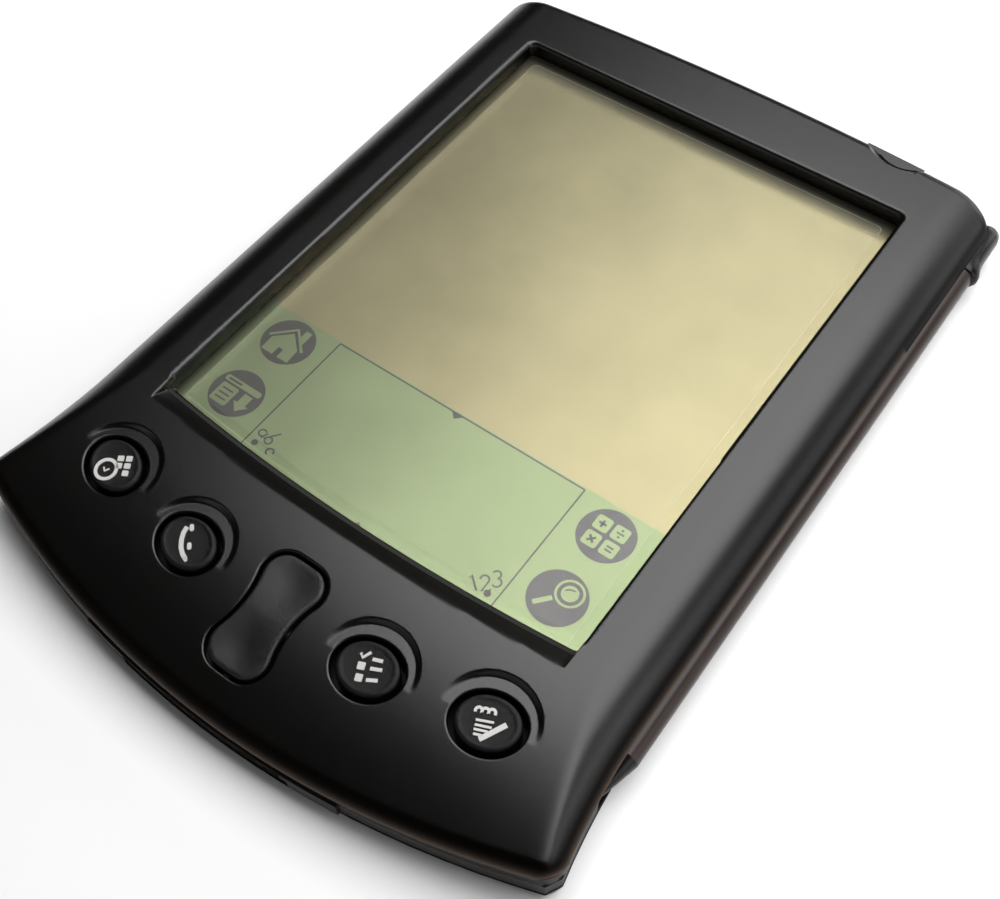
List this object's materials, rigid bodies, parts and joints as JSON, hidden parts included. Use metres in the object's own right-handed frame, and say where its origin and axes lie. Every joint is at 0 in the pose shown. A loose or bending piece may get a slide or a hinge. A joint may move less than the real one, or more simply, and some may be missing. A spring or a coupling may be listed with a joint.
{
  "type": "personal digital assistant",
  "caption": "Slim pocket organiser: dark glued metal shells, touch screen with writing area, pressable keys, tilting scroll rocker, stylus in a side rail.",
  "frame": {"origin": "centre of the flat back", "axes": "+Z out of the screen, +Y towards the top end, +X to the right"},
  "size_m": [0.0828, 0.1155, 0.0102],
  "materials": {
    "front_shell": "fine matte charcoal coat on a thin pressed skin",
    "rear_shell": "fine matte charcoal coat on a thin pressed skin",
    "mid_frame": "dark moulded frame with an open rail along each side",
    "shell_adhesive": "cured adhesive bead",
    "rear_adhesive": "cured adhesive film",
    "window_gasket": "soft foam gasket",
    "screen_protector": "thin clear film",
    "touch_panel": "clear resistive touch panel",
    "writing_print": "printed sheet of the writing area",
    "writing_backer": "white moulded light spreader",
    "lcd_glass": "reflective liquid crystal cell",
    "backlight_panel": "thin light panel",
    "lcd_frame": "dark moulded tray",
    "lcd_flex": "amber flexible circuit",
    "touch_flex": "amber flexible circuit",
    "key_flex": "amber flexible circuit",
    "main_board": "green solder mask",
    "processor_chip": "moulded package",
    "memory_chips": "moulded package",
    "crystal_can": "drawn can",
    "small_components": "small ceramic parts",
    "shield_can": "tinned sheet",
    "reset_switch": "moulded switch",
    "power_switch": "moulded switch",
    "contrast_switch": "moulded switch",
    "ir_transceiver": "dark moulded lenses",
    "ir_window": "dark red window",
    "piezo_speaker": "thin brass disc",
    "battery_cell": "laminated pouch",
    "battery_tape": "double-sided tape",
    "battery_leads": "insulated wire",
    "battery_plug": "moulded plug",
    "dock_connector": "moulded housing",
    "dock_contacts": "gilded contacts",
    "key_board": "green solder mask",
    "key_domes": "snap domes",
    "rocker_bracket": "moulded ears",
    "rocker_pin": "ground pin",
    "scroll_rocker": "leather-grained key",
    "button_calendar": "smooth black key",
    "button_phone": "smooth black key",
    "button_tasks": "smooth black key",
    "button_notes": "smooth black key",
    "power_button": "smooth grey key",
    "contrast_button": "smooth grey key",
    "board_screws": "small cross-head screws",
    "rear_label": "blank printed label",
    "stylus_barrel": "dark coated thin tube",
    "stylus_tip": "smooth black tip",
    "stylus_cap": "black moulded head",
    "reset_pin": "fine steel pin"
  },
  "bodies": {
    "case": {"front_shell": "front_shell", "rear_shell": "rear_shell", "mid_frame": "mid_frame", "shell_adhesive": "shell_adhesive", "rear_adhesive": "rear_adhesive", "window_gasket": "window_gasket", "screen_protector": "screen_protector", "touch_panel": "touch_panel", "writing_print": "writing_print", "writing_backer": "writing_backer", "lcd_glass": "lcd_glass", "backlight_panel": "backlight_panel", "lcd_frame": "lcd_frame", "lcd_flex": "lcd_flex", "touch_flex": "touch_flex", "key_flex": "key_flex", "main_board": "main_board", "processor_chip": "processor_chip", "memory_chips": "memory_chips", "crystal_can": "crystal_can", "small_components": "small_components", "shield_can": "shield_can", "reset_switch": "reset_switch", "power_switch": "power_switch", "contrast_switch": "contrast_switch", "ir_transceiver": "ir_transceiver", "ir_window": "ir_window", "piezo_speaker": "piezo_speaker", "battery_cell": "battery_cell", "battery_tape": "battery_tape", "battery_leads": "battery_leads", "battery_plug": "battery_plug", "dock_connector": "dock_connector", "dock_contacts": "dock_contacts", "key_board": "key_board", "key_domes": "key_domes", "rocker_bracket": "rocker_bracket", "rocker_pin": "rocker_pin", "board_screws": "board_screws", "rear_label": "rear_label"},
    "calendar_key": {"button_calendar": "button_calendar"},
    "phone_key": {"button_phone": "button_phone"},
    "tasks_key": {"button_tasks": "button_tasks"},
    "notes_key": {"button_notes": "button_notes"},
    "rocker": {"scroll_rocker": "scroll_rocker"},
    "power_key": {"power_button": "power_button"},
    "contrast_key": {"contrast_button": "contrast_button"},
    "stylus": {"stylus_barrel": "stylus_barrel", "stylus_tip": "stylus_tip"},
    "stylus_head": {"stylus_cap": "stylus_cap", "reset_pin": "reset_pin"}
  },
  "joints": [
    {"name": "calendar_press", "type": "slide", "parent": "case", "child": "calendar_key", "axis": [0, 0, -1], "range_m": [0, 0.0004], "stiffness_N_per_m": 800, "springref_m": -0.0003},
    {"name": "phone_press", "type": "slide", "parent": "case", "child": "phone_key", "axis": [0, 0, -1], "range_m": [0, 0.0004], "stiffness_N_per_m": 800, "springref_m": -0.0003},
    {"name": "tasks_press", "type": "slide", "parent": "case", "child": "tasks_key", "axis": [0, 0, -1], "range_m": [0, 0.0004], "stiffness_N_per_m": 800, "springref_m": -0.0003},
    {"name": "notes_press", "type": "slide", "parent": "case", "child": "notes_key", "axis": [0, 0, -1], "range_m": [0, 0.0004], "stiffness_N_per_m": 800, "springref_m": -0.0003},
    {"name": "rocker_tilt", "type": "hinge", "parent": "case", "child": "rocker", "pos_m": [0, -0.0452, 0.0069], "axis": [1, 0, 0], "range_deg": [-3, 3], "stiffness_Nm_per_rad": 0.115},
    {"name": "power_press", "type": "slide", "parent": "case", "child": "power_key", "axis": [0, -1, 0], "range_m": [0, 0.0004], "stiffness_N_per_m": 600, "springref_m": -0.0003},
    {"name": "contrast_press", "type": "slide", "parent": "case", "child": "contrast_key", "axis": [0, -1, 0], "range_m": [0, 0.0004], "stiffness_N_per_m": 600, "springref_m": -0.0003},
    {"name": "stylus_draw", "type": "slide", "parent": "case", "child": "stylus", "axis": [0, 1, 0], "range_m": [0, 0.1]},
    {"name": "head_draw", "type": "slide", "parent": "stylus", "child": "stylus_head", "axis": [0, 1, 0], "range_m": [0, 0.012]}
  ]
}
